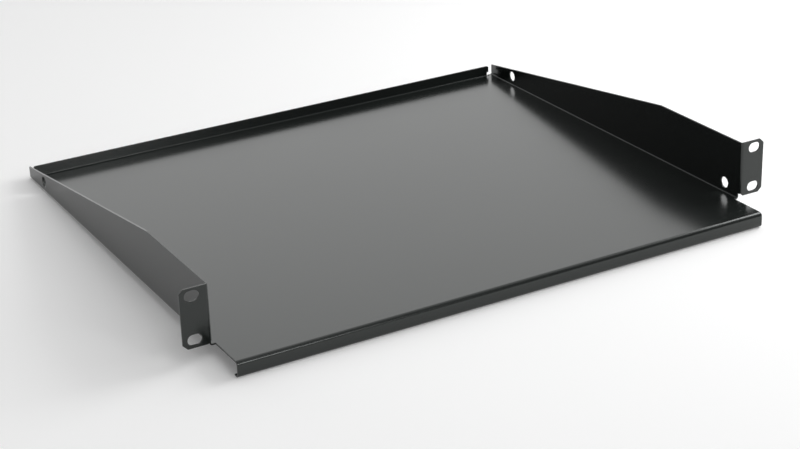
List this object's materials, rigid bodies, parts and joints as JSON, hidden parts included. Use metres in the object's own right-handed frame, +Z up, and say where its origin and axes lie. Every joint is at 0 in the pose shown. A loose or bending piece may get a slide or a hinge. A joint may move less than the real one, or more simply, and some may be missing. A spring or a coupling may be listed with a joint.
{
  "type": "rack shelf",
  "caption": "Rack shelf folded from one steel sheet: flat tray, low rear wall, sloping side walls, slotted mounting ears and a turned-down front lip.",
  "frame": {"origin": "centre of the four rack slots, on the rear face of the ears, which meets the rack's rails", "axes": "+X across the rack to the right as seen from its front, +Y towards the rack's back, +Z up"},
  "size_m": [0.4826, 0.3837, 0.0572],
  "materials": {
    "black_coat": "semi-gloss black powder coat with a fine, slightly pebbled texture"
  },
  "bodies": {
    "root": {"shelf": "black_coat"}
  },
  "joints": []
}
